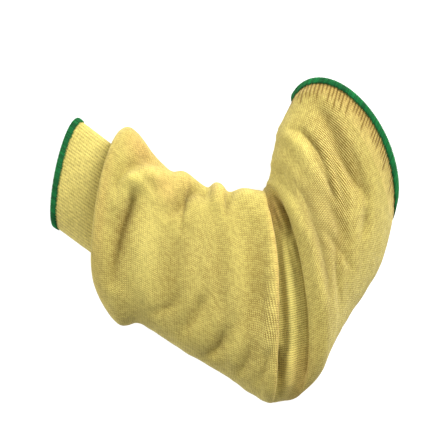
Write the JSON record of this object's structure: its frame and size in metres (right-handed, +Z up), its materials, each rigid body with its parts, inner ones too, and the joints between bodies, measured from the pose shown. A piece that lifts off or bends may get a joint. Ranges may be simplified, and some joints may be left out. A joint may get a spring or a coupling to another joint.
{
  "type": "cut resistant sleeve",
  "caption": "Knitted tubular forearm and elbow sleeve, open at both ends, with overlocked edges, lying bent on a surface.",
  "frame": {"origin": "centre of the sleeve's outline as it lies, on the surface that it lies on", "axes": "+X from the wrist end towards the upper arm end, +Y towards the inside of the elbow's bend, +Z up from the surface"},
  "size_m": [0.2964, 0.276, 0.0611],
  "materials": {
    "edge_thread": "matt overlock thread",
    "cuff_rib": "matt fine rib knit",
    "body_knit": "matt plain knit",
    "band_rib": "matt coarse rib knit"
  },
  "bodies": {
    "root": {"wrist_binding": "edge_thread", "wrist_cuff": "cuff_rib", "sleeve_body": "body_knit", "upper_arm_band": "band_rib", "upper_arm_binding": "edge_thread"}
  },
  "joints": []
}
